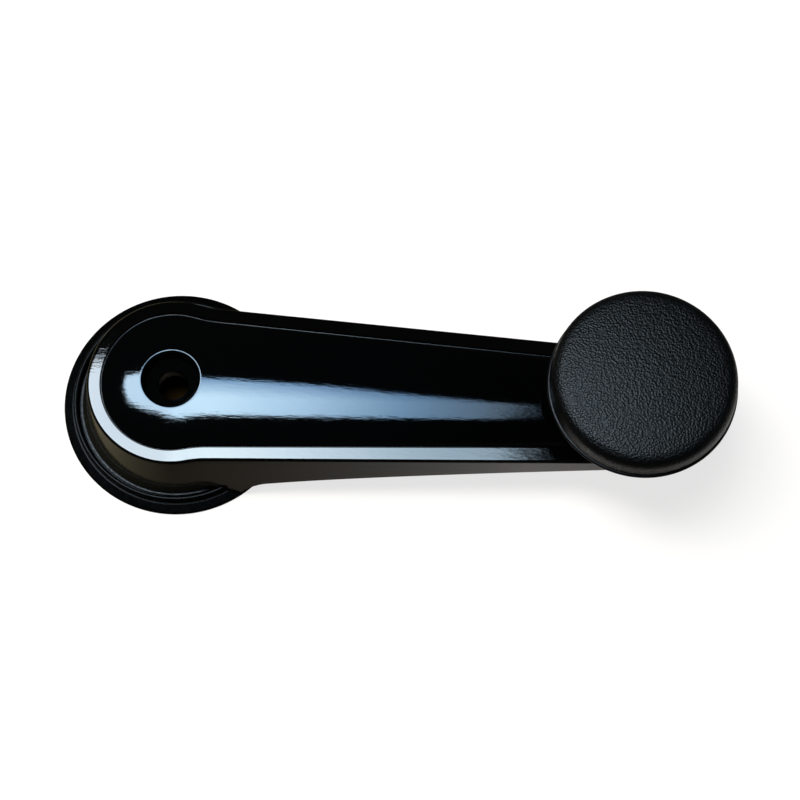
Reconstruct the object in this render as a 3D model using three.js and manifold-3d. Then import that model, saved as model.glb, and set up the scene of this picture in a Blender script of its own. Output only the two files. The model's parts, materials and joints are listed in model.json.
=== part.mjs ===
// Window winder handle: a tapered die-cast crank on a stepped escutcheon, with a spinning knob.
//
// Units are millimetres. The origin is on the hub axis in the plane of the door panel, +X runs
// along the crank towards the knob and +Z points away from the door into the cabin.
// Everything that turns about the hub axis is in the group "crank", what stays against the door
// is in "door_side" and what spins on the shouldered pin is in "knob".

import * as THREE from 'three';
import { mergeVertices } from 'three/addons/utils/BufferGeometryUtils.js';
import Module from 'manifold-3d';

const wasm = await Module();
wasm.setup();

// ---------------------------------------------------------------- driving dimensions

const ROUND = 28; // facets round a full circle
const FINE_ROUND = 40; // the same for the escutcheon and the knob
const SPRING_WAVES = 3; // waves round each spring washer
const SEAT_GAP = 0.25; // gap left between pieces that are pressed or seated together
const FACE_GAP = 0.1; // gap between faces that rest on each other
const OVERCUT = 5; // how far a cutting tool runs past the face that it opens

// crank outline, measured where the drafted side wall meets the rounded top edge
const KNOB_X = 90.4; // distance between the hub axis and the knob axis
const RIM_Z = 15.1; // flat rim round the top of the crank
const EDGE_ROUND = 0.65; // radius of the rim's outer edge
const WALL_TOP_Z = RIM_Z - EDGE_ROUND;
const WALL_DRAFT = 0.2068; // outward lean of the side wall, mm per mm of depth
const OUTER = { hub: 16.7, half: 16.0, taper: 0.0492, waist: 22 };
const GROOVE = { hub: 14.1, half: 13.45, taper: 0.0537, waist: 24 };
const CROWN = { hub: 13.5, half: 12.94, taper: 0.0612, waist: 25 };
const GROOVE_DEPTH = 0.35;
const GROOVE_HALF = 0.3; // distance from the rim's inner edge to the bottom of the groove
const CROWN_RISE = 2.0; // height of the crown's ridge above the rim
const CROWN_STEPS = 5;
const CROWN_REACH = 0.93; // the last crown ring ends this share of the way to the ridge line

// escutcheon, a turned profile
const ESC_RADIUS = 23;
const ESC_LIP_Z = 1.6;
const ESC_LIP_FLAT_R = 22.2;
const ESC_STEP_R = 21.05;
const ESC_RING_Z = 3.9;
const ESC_RING_IN_R = 20.15;
const ESC_FLOOR_Z = 1.4;
const ESC_BORE_R = 8.2;
const GASKET_IN_R = 11;
const GASKET_OUT_R = 19.6;
const GASKET_DEPTH = 0.65;
const GASKET_T = 0.5;
const SLIP_WASHER_IN_R = 14;
const SLIP_WASHER_OUT_R = 19.55;
const SLIP_WASHER_T = 0.5;
const RATTLE_SPRING_IN_R = 8.9;
const RATTLE_SPRING_OUT_R = 12.4;
const RATTLE_SPRING_MIDDLE_Z = 2.25;
const RATTLE_SPRING_T = 0.35;
const RATTLE_SPRING_WAVE = 0.5; // height of its waves above and below the middle

// underside of the crank
const HUB_FLOOR_Z = 2.4; // the hub wall stands this high above the door, inside the raised ring
const NECK_R = 22.6; // the neck reaches over the escutcheon to this radius
const NECK_OVER_RING_Z = 4.45;
const NECK_OVER_LIP_Z = 2.0;
const NECK_FILLET = 3.2;
const RING_CLEARANCE = 0.5; // running clearance on each side of the escutcheon's raised ring
const UNDERSIDE = [
  [15, 4.4],
  [34, 9.2],
  [102, 13.2],
]; // control points (x, z) of the underside curve
const POCKET_CEILING_Z = 12.6;
const POCKET_INSET = 2.2;
const POCKET_DRAFT = 0.12;
const POCKET_END_X = 66;
const BOSS_R = 9.7;
const BOSS_FLOOR_Z = 3.2;
const SPRING_ROOM_R = 13; // the ribs end this far from the axis, clear of the anti-rattle spring
const RIB = 1.6;
const CROSS_RIBS_X = [38, 52, 66];
const NECK_WEB = [16.5, 25.5]; // the neck is solid between these distances from the hub axis

// screw hole and spindle socket
const COUNTERBORE_R = 5.65;
const SCREW_SEAT_Z = 12.2;
const SCREW_HOLE_R = 2.9;
const SOCKET_TOP_Z = 9.6;
const INSERT_R = 7.1;
const SPLINE_TEETH = 24;
const SPLINE_TIP_R = 4.45;
const SPLINE_ROOT_R = 4.95;

// knob pin and the two pads that it clamps
const PAD_Z = 17.4;
const PAD_R = 8.6;
const FOOT_Z = 11.4;
const FOOT_R = 7.2;
const TAIL_R = 2.9;
const JOURNAL_R = 4;
const PIN_HEAD_Z = 28.9;
const PIN_HEAD_R = 6.4;
const PIN_HEAD_T = 1.4;
const PEEN_DEPTH = 1.5;
const SEAT_WASHER_T = 0.5;
const BACKING_WASHER_T = 1;

// knob
const KNOB_R = 18.03;
const KNOB_STEM_R = 8.4;
const KNOB_BASE_Z = 18.9;
const LIP_Z = 28.0;
const LIP_T = 0.9;
const PARTING = 0.3;
const SKIN_R = 17.75;
const SKIN_SHOULDER_Z = 31.6;
const KNOB_TOP_R = 15.2;
const KNOB_TOP_EDGE_Z = 34.3;
const KNOB_TOP_Z = 35.3;
const SPIGOT_R = 15.7;
const CORE_FLOOR_Z = 26.6;
const CAP_T = 2;
const BUSH_R = 5.6;
const BUSH_FLANGE_R = 7.4;
const BUSH_FLANGE_T = 0.8;
const THRUST_WASHER_T = 0.5;
const KNOB_SPRING_T = 0.3;
const KNOB_SPRING_WAVE = 0.3;

// ---------------------------------------------------------------- geometry helpers

// a closed geometry with shared vertices, as a manifold solid
function solid(geometry) {
  const bare = geometry.clone();
  bare.deleteAttribute('normal');
  bare.deleteAttribute('uv');
  const merged = mergeVertices(bare, 1e-4);
  const vertProperties = new Float32Array(merged.attributes.position.array);
  const triVerts = new Uint32Array(merged.index.array);
  return new wasm.Manifold(new wasm.Mesh({ numProp: 3, vertProperties, triVerts }));
}

function toGeometry(body) {
  const { vertProperties, triVerts } = body.getMesh();
  const geometry = new THREE.BufferGeometry();
  geometry.setAttribute('position', new THREE.BufferAttribute(vertProperties, 3));
  geometry.setIndex(new THREE.BufferAttribute(triVerts, 1));
  return geometry;
}

// turns a closed (r, z) profile about +Z; the profile runs anticlockwise seen with r to the right
function turned(profile, facets = ROUND) {
  const onAxis = profile[0][0] === 0;
  const points = profile.map(([r, z]) => new THREE.Vector2(r, z));
  if (!onAxis) points.push(points[0].clone());
  return new THREE.LatheGeometry(points, facets).rotateX(Math.PI / 2);
}

function disc(radius, z0, z1, facets = ROUND) {
  return turned([[0, z0], [radius, z0], [radius, z1], [0, z1]], facets);
}

function washer(inner, outer, z0, z1, facets = ROUND) {
  return turned([[inner, z0], [outer, z0], [outer, z1], [inner, z1]], facets);
}

// a washer bent into waves round its circumference
function waveWasher(inner, outer, zMiddle, thickness, amplitude, waves) {
  const geometry = washer(inner, outer, zMiddle - thickness / 2, zMiddle + thickness / 2, FINE_ROUND);
  const position = geometry.attributes.position;
  for (let i = 0; i < position.count; i += 1) {
    const angle = Math.atan2(position.getY(i), position.getX(i));
    position.setZ(i, position.getZ(i) + amplitude * Math.cos(waves * angle));
  }
  return geometry;
}

// points (r, z) along an arc, angles in degrees anticlockwise from +r
function arc(r, z, radius, from, to, steps) {
  return Array.from({ length: steps + 1 }, (_, i) => {
    const angle = THREE.MathUtils.degToRad(from + ((to - from) * i) / steps);
    return [r + radius * Math.cos(angle), z + radius * Math.sin(angle)];
  });
}

// Half of the crank's plan outline, from the hub's far left to the tip under the knob: the hub
// circle, a concave waist, the straight tapered side and the end circle. Every outline has the
// same number of points, so that outlines of different insets can be joined into a skin.
function halfOutline({ hub, half, taper, waist }, inset, endX = KNOB_X) {
  const lean = Math.atan(taper);
  const reach = hub + waist;
  const sideAt0 = half + waist / Math.cos(lean);
  const a = 1 + taper * taper;
  const b = sideAt0 * taper;
  const c = sideAt0 * sideAt0 - reach * reach;
  const waistX = (b + Math.sqrt(b * b - a * c)) / a;
  const waistY = sideAt0 - taper * waistX;
  const hubAngle = Math.atan2(waistY, waistX);
  const endR = (half - taper * endX) * Math.cos(lean) - inset;
  const path = new THREE.Path();
  const sideAngle = Math.PI / 2 - lean;
  path.absarc(0, 0, hub - inset, Math.PI, hubAngle, true);
  const hubArc = path.getPoints(8);
  const waistArc = new THREE.Path();
  waistArc.absarc(waistX, waistY, waist + inset, hubAngle + Math.PI, sideAngle + Math.PI, false);
  const endArc = new THREE.Path();
  endArc.absarc(endX, 0, endR, sideAngle, 0, true);
  const waistPoints = waistArc.getPoints(2);
  const endPoints = endArc.getPoints(6);
  const side = new THREE.LineCurve(waistPoints.at(-1), endPoints[0]).getPoints(7);
  return [...hubArc, ...waistPoints.slice(1), ...side.slice(1), ...endPoints.slice(1)];
}

// the whole outline at height z, anticlockwise seen from above
function ring(outline, inset, z, endX) {
  const upper = halfOutline(outline, inset, endX);
  const lower = upper.slice(1, -1).reverse();
  const loop = [...upper.map((p) => [p.x, p.y]), ...lower.map((p) => [p.x, -p.y])];
  return loop.reverse().map(([x, y]) => new THREE.Vector3(x, y, z));
}

// joins rings of equal length, bottom ring first, into one closed body
function loft(rings) {
  const count = rings[0].length;
  const position = rings.flat().flatMap((p) => [p.x, p.y, p.z]);
  const index = [];
  for (let r = 0; r + 1 < rings.length; r += 1) {
    for (let i = 0; i < count; i += 1) {
      const a = r * count + i;
      const b = r * count + ((i + 1) % count);
      index.push(a, b, b + count, a, b + count, a + count);
    }
  }
  const lid = (ringOfPoints) => THREE.ShapeUtils.triangulateShape(
    ringOfPoints.map((p) => new THREE.Vector2(p.x, p.y)),
    [],
  );
  const topStart = (rings.length - 1) * count;
  lid(rings[0]).forEach(([a, b, c]) => index.push(a, c, b));
  lid(rings.at(-1)).forEach(([a, b, c]) => index.push(a + topStart, b + topStart, c + topStart));
  const geometry = new THREE.BufferGeometry();
  geometry.setAttribute('position', new THREE.Float32BufferAttribute(position, 3));
  geometry.setIndex(index);
  return geometry;
}

function at(geometry, x) {
  return geometry.translate(x, 0, 0);
}

// ---------------------------------------------------------------- crank arm

// crown rings between the crown's foot and the ridge line over the arm's middle
function crownRings(steps) {
  const foot = ring(CROWN, 0, RIM_Z);
  return Array.from({ length: steps + 1 }, (_, step) => {
    const inward = (CROWN_REACH * step) / steps;
    const rise = CROWN_RISE * (1 - (1 - inward) ** 2);
    return foot.map((p) => {
      const ridgeX = THREE.MathUtils.clamp(p.x, 0, KNOB_X);
      return new THREE.Vector3(p.x + (ridgeX - p.x) * inward, p.y * (1 - inward), RIM_Z + rise);
    });
  });
}

// the crank's outer skin, still solid and still reaching down to the escutcheon's lip
function crankBlank() {
  const wallFoot = NECK_OVER_LIP_Z - 1;
  const outset = -WALL_DRAFT * (WALL_TOP_Z - wallFoot);
  const edge = arc(0, 0, EDGE_ROUND, 0, 90, 3).map(([across, up]) =>
    ring(OUTER, EDGE_ROUND - across, WALL_TOP_Z + up));
  const grooveMiddle = RIM_Z - GROOVE_DEPTH;
  return solid(loft([
    ring(OUTER, outset, wallFoot),
    ...edge,
    ring(GROOVE, 0, RIM_Z),
    ring(GROOVE, GROOVE_HALF, grooveMiddle),
    ...crownRings(CROWN_STEPS),
  ]));
}

// everything under the crank that the blank has to lose outside the neck
function belowUnderside() {
  const curve = new THREE.QuadraticBezierCurve(...UNDERSIDE.map(([x, z]) => new THREE.Vector2(x, z)));
  const side = new THREE.Shape();
  side.moveTo(-2 * ESC_RADIUS, -OVERCUT);
  side.lineTo(-2 * ESC_RADIUS, UNDERSIDE[0][1]);
  curve.getPoints(10).forEach((p) => side.lineTo(p.x, p.y));
  side.lineTo(KNOB_X + 2 * ESC_RADIUS, UNDERSIDE[2][1] + 1);
  side.lineTo(KNOB_X + 2 * ESC_RADIUS, -OVERCUT);
  const depth = 4 * ESC_RADIUS;
  const slab = new THREE.ExtrudeGeometry(side, { depth, bevelEnabled: false, steps: 1 });
  slab.rotateX(Math.PI / 2).translate(0, depth / 2, 0);
  const flareZ = NECK_OVER_LIP_Z + 1;
  const neck = turned([
    [0, -2 * OVERCUT], [NECK_R, -2 * OVERCUT],
    ...arc(NECK_R + NECK_FILLET, flareZ, NECK_FILLET, 180, 90, 5),
    [0, flareZ + NECK_FILLET],
  ], FINE_ROUND);
  return solid(slab).subtract(solid(neck));
}

// room for the escutcheon's floor, raised ring and lip, with running clearance
function escutcheonRoom() {
  const far = 2 * ESC_RADIUS;
  const ringIn = ESC_RING_IN_R - RING_CLEARANCE;
  const ringOut = ESC_STEP_R + RING_CLEARANCE;
  return solid(turned([
    [0, -OVERCUT], [far, -OVERCUT], [far, NECK_OVER_LIP_Z],
    [ringOut, NECK_OVER_LIP_Z], [ringOut, NECK_OVER_RING_Z],
    [ringIn, NECK_OVER_RING_Z], [ringIn, HUB_FLOOR_Z], [0, HUB_FLOOR_Z],
  ], FINE_ROUND));
}

// lightening pocket under hub and arm, less the spindle boss and the ribs
function pocket() {
  const depth = POCKET_CEILING_Z + OVERCUT;
  const outer = solid(loft([
    ring(OUTER, POCKET_INSET - POCKET_DRAFT * depth, -OVERCUT, POCKET_END_X),
    ring(OUTER, POCKET_INSET, POCKET_CEILING_Z, POCKET_END_X),
  ]));
  const boss = solid(disc(BOSS_R, -2 * OVERCUT, RIM_Z));
  const spine = new THREE.BoxGeometry(KNOB_X, RIB, 4 * RIM_Z).translate(KNOB_X / 2, 0, 0);
  const webWidth = NECK_WEB[1] - NECK_WEB[0];
  const web = new THREE.BoxGeometry(webWidth, 3 * ESC_RADIUS, 4 * RIM_Z);
  web.translate(NECK_WEB[0] + webWidth / 2, 0, 0);
  let tool = outer.subtract(boss).subtract(solid(spine)).subtract(solid(web));
  CROSS_RIBS_X.forEach((x) => {
    const cross = new THREE.BoxGeometry(RIB, 2 * ESC_RADIUS, 4 * RIM_Z).translate(x, 0, 0);
    tool = tool.subtract(solid(cross));
  });
  return tool;
}

function crankArm() {
  const top = RIM_Z + CROWN_RISE + OVERCUT;
  return crankBlank()
    .subtract(belowUnderside())
    .subtract(escutcheonRoom())
    .subtract(pocket())
    .add(solid(at(disc(PAD_R, WALL_TOP_Z, PAD_Z), KNOB_X)))
    .add(solid(at(disc(FOOT_R, FOOT_Z, WALL_TOP_Z), KNOB_X)))
    .subtract(solid(at(disc(TAIL_R + SEAT_GAP, 0, top), KNOB_X)))
    .subtract(solid(disc(COUNTERBORE_R, SCREW_SEAT_Z, top)))
    .subtract(solid(disc(SCREW_HOLE_R, 0, top)))
    .subtract(solid(disc(SPRING_ROOM_R, -OVERCUT, BOSS_FLOOR_Z)))
    .subtract(solid(disc(INSERT_R + SEAT_GAP, -OVERCUT, SOCKET_TOP_Z)));
}

// serrated steel bush that grips the window regulator's spindle
function splineInsert() {
  const outline = new THREE.Shape();
  outline.absarc(0, 0, INSERT_R, 0, 2 * Math.PI, false);
  const serration = new THREE.Path();
  for (let i = 0; i < 2 * SPLINE_TEETH; i += 1) {
    const angle = (Math.PI * i) / SPLINE_TEETH;
    const radius = i % 2 ? SPLINE_ROOT_R : SPLINE_TIP_R;
    const point = [radius * Math.cos(angle), radius * Math.sin(angle)];
    if (i) serration.lineTo(...point);
    else serration.moveTo(...point);
  }
  serration.closePath();
  outline.holes.push(serration);
  const depth = SOCKET_TOP_Z - BOSS_FLOOR_Z - 2 * SEAT_GAP;
  const settings = { depth, bevelEnabled: false, curveSegments: ROUND / 2 };
  return new THREE.ExtrudeGeometry(outline, settings).translate(0, 0, BOSS_FLOOR_Z + SEAT_GAP);
}

// ---------------------------------------------------------------- door side

function escutcheon() {
  const lipRound = ESC_RADIUS - ESC_LIP_FLAT_R;
  return turned([
    [ESC_BORE_R, 0], [GASKET_IN_R, 0], [GASKET_IN_R, GASKET_DEPTH], [GASKET_OUT_R, GASKET_DEPTH],
    [GASKET_OUT_R, 0], [ESC_RADIUS - 0.3, 0], [ESC_RADIUS, 0.3],
    ...arc(ESC_LIP_FLAT_R, ESC_LIP_Z - lipRound, lipRound, 0, 90, 4),
    [ESC_STEP_R, ESC_LIP_Z], [ESC_STEP_R - 0.05, ESC_RING_Z - 0.25], [ESC_STEP_R - 0.3, ESC_RING_Z],
    [ESC_RING_IN_R + 0.2, ESC_RING_Z], [ESC_RING_IN_R, ESC_RING_Z - 0.2],
    [ESC_RING_IN_R, ESC_FLOOR_Z], [ESC_BORE_R, ESC_FLOOR_Z],
  ], FINE_ROUND);
}

function gasket() {
  const z = GASKET_DEPTH - FACE_GAP - GASKET_T;
  return washer(GASKET_IN_R + SEAT_GAP, GASKET_OUT_R - SEAT_GAP, z, z + GASKET_T);
}

function slipWasher() {
  const z = ESC_FLOOR_Z + FACE_GAP;
  return washer(SLIP_WASHER_IN_R, SLIP_WASHER_OUT_R, z, z + SLIP_WASHER_T);
}

function antiRattleSpring() {
  return waveWasher(RATTLE_SPRING_IN_R, RATTLE_SPRING_OUT_R, RATTLE_SPRING_MIDDLE_Z,
    RATTLE_SPRING_T, RATTLE_SPRING_WAVE, SPRING_WAVES);
}

// ---------------------------------------------------------------- knob pin

function pinSeatWasher() {
  const z = PAD_Z + FACE_GAP;
  return washer(JOURNAL_R + SEAT_GAP, PAD_R - 0.6, z, z + SEAT_WASHER_T);
}

function pinBackingWasher() {
  const z = FOOT_Z - FACE_GAP - BACKING_WASHER_T;
  return washer(TAIL_R + SEAT_GAP, FOOT_R - 0.8, z, z + BACKING_WASHER_T);
}

// shouldered pin: peened tail under the arm, journal in the knob's bush, flat head inside the knob
function knobPin() {
  const tailZ = FOOT_Z - 2 * FACE_GAP - BACKING_WASHER_T;
  const shoulderZ = PAD_Z + FACE_GAP;
  const headTop = PIN_HEAD_Z + PIN_HEAD_T;
  return turned([
    [0, tailZ - PEEN_DEPTH], [2.6, tailZ - 1.4], [4, tailZ - 0.8], [4.4, tailZ],
    [TAIL_R, tailZ], [TAIL_R, shoulderZ], [JOURNAL_R, shoulderZ], [JOURNAL_R, PIN_HEAD_Z],
    [PIN_HEAD_R, PIN_HEAD_Z], [PIN_HEAD_R, headTop - 0.4], [PIN_HEAD_R - 0.4, headTop], [0, headTop],
  ]);
}

// ---------------------------------------------------------------- knob

// trumpet-shaped base with the knob's bottom lip and a spigot that the soft cap snaps on
function knobBase() {
  const flare = new THREE.CubicBezierCurve(
    new THREE.Vector2(KNOB_STEM_R, KNOB_BASE_Z + 0.4),
    new THREE.Vector2(KNOB_STEM_R + 0.4, KNOB_BASE_Z + 5),
    new THREE.Vector2(KNOB_R - 6, LIP_Z - 1.6),
    new THREE.Vector2(KNOB_R - 0.5, LIP_Z - 0.3),
  ).getPoints(4).map((p) => [p.x, p.y]);
  const lipTop = LIP_Z + LIP_T;
  return turned([
    [BUSH_R + SEAT_GAP, KNOB_BASE_Z], [KNOB_STEM_R - 0.4, KNOB_BASE_Z], ...flare,
    [KNOB_R, LIP_Z], [KNOB_R, lipTop - 0.25], [KNOB_R - 0.25, lipTop],
    [SPIGOT_R, lipTop], [SPIGOT_R, SKIN_SHOULDER_Z], [SPIGOT_R - 1.8, SKIN_SHOULDER_Z],
    [SPIGOT_R - 2, LIP_Z + 0.4], [BUSH_FLANGE_R + 1.6, CORE_FLOOR_Z], [BUSH_R + SEAT_GAP, CORE_FLOOR_Z],
  ], FINE_ROUND);
}

// soft grained cap that covers the top and the side of the knob
function knobCap() {
  const skirtZ = LIP_Z + LIP_T + PARTING;
  const edge = new THREE.CubicBezierCurve(
    new THREE.Vector2(SKIN_R - 0.35, SKIN_SHOULDER_Z),
    new THREE.Vector2(SKIN_R - 0.45, SKIN_SHOULDER_Z + 1.6),
    new THREE.Vector2(KNOB_TOP_R + 1.4, KNOB_TOP_EDGE_Z - 0.1),
    new THREE.Vector2(KNOB_TOP_R, KNOB_TOP_EDGE_Z),
  ).getPoints(4).map((p) => [p.x, p.y]);
  const dome = new THREE.QuadraticBezierCurve(
    new THREE.Vector2(KNOB_TOP_R, KNOB_TOP_EDGE_Z),
    new THREE.Vector2(KNOB_TOP_R / 2, KNOB_TOP_Z),
    new THREE.Vector2(0, KNOB_TOP_Z),
  ).getPoints(4).map((p) => [p.x, p.y]);
  const inside = SPIGOT_R + SEAT_GAP;
  return turned([
    [0, KNOB_TOP_Z - CAP_T], [KNOB_TOP_R - 4, KNOB_TOP_Z - CAP_T - 0.3], [inside - 1, SKIN_SHOULDER_Z + 0.9],
    [inside, SKIN_SHOULDER_Z + 0.3], [inside, skirtZ], [SKIN_R - 0.2, skirtZ], [SKIN_R, skirtZ + 0.2],
    ...edge, ...dome.slice(1),
  ], FINE_ROUND);
}

// flanged plain bearing pressed into the base from above
function knobBush() {
  const bore = JOURNAL_R + FACE_GAP;
  const flangeZ = CORE_FLOOR_Z + FACE_GAP;
  const footZ = KNOB_BASE_Z + FACE_GAP;
  return turned([
    [bore, footZ], [BUSH_R, footZ], [BUSH_R, flangeZ],
    [BUSH_FLANGE_R, flangeZ], [BUSH_FLANGE_R, flangeZ + BUSH_FLANGE_T], [bore, flangeZ + BUSH_FLANGE_T],
  ]);
}

function knobThrustWasher() {
  const z = PAD_Z + SEAT_WASHER_T + SEAT_GAP;
  return washer(JOURNAL_R + SEAT_GAP, KNOB_STEM_R - 0.5, z, z + THRUST_WASHER_T);
}

function knobWaveWasher() {
  const under = CORE_FLOOR_Z + FACE_GAP + BUSH_FLANGE_T;
  return waveWasher(JOURNAL_R + SEAT_GAP, PIN_HEAD_R - FACE_GAP, (under + PIN_HEAD_Z) / 2,
    KNOB_SPRING_T, KNOB_SPRING_WAVE, SPRING_WAVES);
}

// ---------------------------------------------------------------- scene graph

function finish(color, roughness, metalness) {
  return new THREE.MeshStandardMaterial({ color, roughness, metalness });
}

const GLOSS_PAINT = finish(0x050506, 0.08, 0);
const GLOSS_MOULDING = finish(0x08080a, 0.16, 0);
const GRAINED_CAP = finish(0x141416, 0.55, 0);
const SATIN_MOULDING = finish(0x111113, 0.4, 0);
const NYLON = finish(0x1b1b1c, 0.5, 0);
const FOAM = finish(0x2b2b2c, 0.95, 0);
const BRIGHT_STEEL = finish(0xb9bcc0, 0.3, 1);
const SPRING_STEEL = finish(0x70757c, 0.35, 1);
const BRONZE = finish(0xb08a4a, 0.4, 1);

function node(name, shape, material) {
  const geometry = shape instanceof wasm.Manifold ? toGeometry(shape) : shape;
  const mesh = new THREE.Mesh(geometry, material);
  mesh.name = name;
  return mesh;
}

// moves a part made on the hub axis out to the knob axis
function onKnobAxis(...meshes) {
  const group = new THREE.Group();
  group.position.x = KNOB_X;
  group.add(...meshes);
  return group;
}

const doorSide = new THREE.Group();
doorSide.name = 'door_side';
doorSide.add(
  node('escutcheon', escutcheon(), GLOSS_MOULDING),
  node('escutcheon_gasket', gasket(), FOAM),
  node('slip_washer', slipWasher(), NYLON),
  node('anti_rattle_spring', antiRattleSpring(), SPRING_STEEL),
);

const crank = new THREE.Group();
crank.name = 'crank';
crank.add(
  node('crank_arm', crankArm(), GLOSS_PAINT),
  node('spline_insert', splineInsert(), BRIGHT_STEEL),
  onKnobAxis(
    node('knob_pin', knobPin(), BRIGHT_STEEL),
    node('pin_seat_washer', pinSeatWasher(), BRIGHT_STEEL),
    node('pin_backing_washer', pinBackingWasher(), BRIGHT_STEEL),
  ),
);

const knob = new THREE.Group();
knob.name = 'knob';
knob.add(onKnobAxis(
  node('knob_base', knobBase(), SATIN_MOULDING),
  node('knob_cap', knobCap(), GRAINED_CAP),
  node('knob_bush', knobBush(), BRONZE),
  node('knob_thrust_washer', knobThrustWasher(), NYLON),
  node('knob_wave_washer', knobWaveWasher(), SPRING_STEEL),
));

const winder = new THREE.Group();
winder.name = 'window_winder';
winder.add(doorSide, crank, knob);

export default winder;
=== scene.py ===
import json
import math

import bmesh
import bpy
import numpy as np
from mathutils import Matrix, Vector


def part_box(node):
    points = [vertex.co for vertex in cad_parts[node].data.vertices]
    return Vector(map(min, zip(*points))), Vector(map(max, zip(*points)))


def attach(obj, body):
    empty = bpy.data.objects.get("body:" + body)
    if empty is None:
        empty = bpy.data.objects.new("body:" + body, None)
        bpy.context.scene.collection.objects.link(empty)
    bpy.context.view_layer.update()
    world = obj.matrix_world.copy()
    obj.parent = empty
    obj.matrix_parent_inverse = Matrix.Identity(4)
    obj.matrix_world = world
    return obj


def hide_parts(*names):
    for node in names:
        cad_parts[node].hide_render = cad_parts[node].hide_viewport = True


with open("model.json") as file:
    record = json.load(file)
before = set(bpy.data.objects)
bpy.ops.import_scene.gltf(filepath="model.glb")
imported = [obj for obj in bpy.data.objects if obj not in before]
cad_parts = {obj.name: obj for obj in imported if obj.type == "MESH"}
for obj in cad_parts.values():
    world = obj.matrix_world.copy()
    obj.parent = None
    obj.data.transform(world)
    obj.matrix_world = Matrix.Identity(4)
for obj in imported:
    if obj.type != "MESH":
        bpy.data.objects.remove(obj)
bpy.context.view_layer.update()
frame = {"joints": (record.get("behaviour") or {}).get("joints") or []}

# Looks of the window winder handle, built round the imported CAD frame.
# Shapes are worked out in millimetres, in the frame's axes: the origin is on the hub axis in the
# plane of the door, +X runs along the crank to the knob and +Z points away from the door.
# Meshes are written in metres, and so are the places that materials and lights refer to.

MM = 0.001


def joint_x(name):
    """Where a joint's axis stands along the crank, in millimetres."""
    return next(joint for joint in frame["joints"] if joint["name"] == name)["pos_m"][0] / MM


def box_mm(node):
    low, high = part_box(node)
    return Vector(low) / MM, Vector(high) / MM


# ---------------------------------------------------------------- sizes

KNOB_X = joint_x("knob_spin")

# crank outline in plan: hub circle, concave waist, tapered side, end circle
OUTER = {"hub": 16.7, "half": 16.0, "taper": 0.0492, "waist": 22}
GROOVE = {"hub": 14.1, "half": 13.45, "taper": 0.0537, "waist": 24}
CROWN = {"hub": 13.5, "half": 12.94, "taper": 0.0612, "waist": 25}
WALL_DRAFT = 0.2068  # outward lean of the side wall, mm per mm of depth
WALL_TOP_Z = 14.42
EDGE_ROUND = 0.65
RIM_SLOPE = math.radians(5)  # the rim falls outwards
RIM_Z = 15.1
GROOVE_DEPTH = 0.4
GROOVE_WIDTH = 0.5
GROOVE_BOTTOM_R = 0.07
GROOVE_LEAN = math.radians(58)  # how far the groove's rounded bottom turns up on each side
CROWN_RISE_HUB = 2.2
CROWN_RISE_TIP = 1.9

# lower edge and underside of the crank
HUB_FLOOR_Z = 2.4
NECK_OVER_RING_Z = 3.6
NECK_OVER_LIP_Z = 1.6
UP_OVER_RING = (19.2, 19.7)  # the neck's underside climbs between these distances from the hub axis
DOWN_TO_LIP = (20.9, 21.9)  # and comes down again between these
LIP_FALL = 0.35  # how fast the lip and the neck over it fall outwards
NECK_R = 23.0
NECK_FILLET = 2.6
UNDERSIDE = ((15, 4.0), (34, 8.4), (102, 12.7))  # control points (x, z) of the underside curve
LOWER_ROUND = 0.25
WALL_THICK = 2.2
POCKET_LEAN = 1.0  # how far the pocket's walls lean in over their height
CEILING_Z = 12.6
WEB = (17.5, 26.5)  # the neck is solid between these places along the side
POCKET_END_X = 65
BOSS_R = 9.7
BOSS_LEAN = 0.5  # how much wider the boss is at the ceiling
BOSS_FLOOR_Z = 3.2
RIB_HALF = 0.8
RIB_REACH_DOWN_X = 13.2  # up to here the spine rib comes down beside the boss
RIB_OVER_BOSS = 0.4  # how much higher than the boss's end it stops there
RIB_OVER_EDGE = 0.5  # and how much higher than the walls' lower edge elsewhere
RIB_IN_CEILING = 0.6
RIB_END_INSET = 0.6  # the cross ribs end inside the walls
CROSS_RIBS_X = (38, 52)

# screw hole and socket
COUNTERBORE_R = 5.3
HOLE_ROUND = 0.62
SCREW_SEAT_Z = 13.4
SEAT_FALL = 0.9  # the seat is a shallow cone
SEAT_FILLET = 0.3
SCREW_HOLE_R = 2.9
SOCKET_TOP_Z = 9.6
SOCKET_R = 7.35

# pads clamped by the knob's pin
PAD_Z = 17.4
PAD_R = 8.6
FOOT_Z = 11.4
FOOT_R = 7.2
TAIL_HOLE_R = 3.15
PIN_WASHER_BORE_R = 4.25  # of the washers round the pin's journal


# ---------------------------------------------------------------- mesh helpers

WELD_GAP = 0.002  # points closer than this become one


def new_object(name, mesh):
    piece = bpy.data.objects.new(name, mesh)
    bpy.context.scene.collection.objects.link(piece)
    return piece


def weld(name, patches):
    """One closed object from grids of points (rows, columns, 3) in mm that share their borders."""
    bm = bmesh.new()
    for patch in patches:
        rows, columns = patch.shape[:2]
        verts = [[bm.verts.new(Vector(patch[r, c]) * MM) for c in range(columns)] for r in range(rows)]
        for r in range(rows - 1):
            for c in range(columns - 1):
                bm.faces.new((verts[r][c], verts[r][c + 1], verts[r + 1][c + 1], verts[r + 1][c]))
    bmesh.ops.remove_doubles(bm, verts=bm.verts, dist=WELD_GAP * MM)
    bmesh.ops.dissolve_degenerate(bm, edges=bm.edges, dist=1e-7)
    bmesh.ops.recalc_face_normals(bm, faces=bm.faces)
    mesh = bpy.data.meshes.new(name)
    bm.to_mesh(mesh)
    bm.free()
    return new_object(name, mesh)


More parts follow.
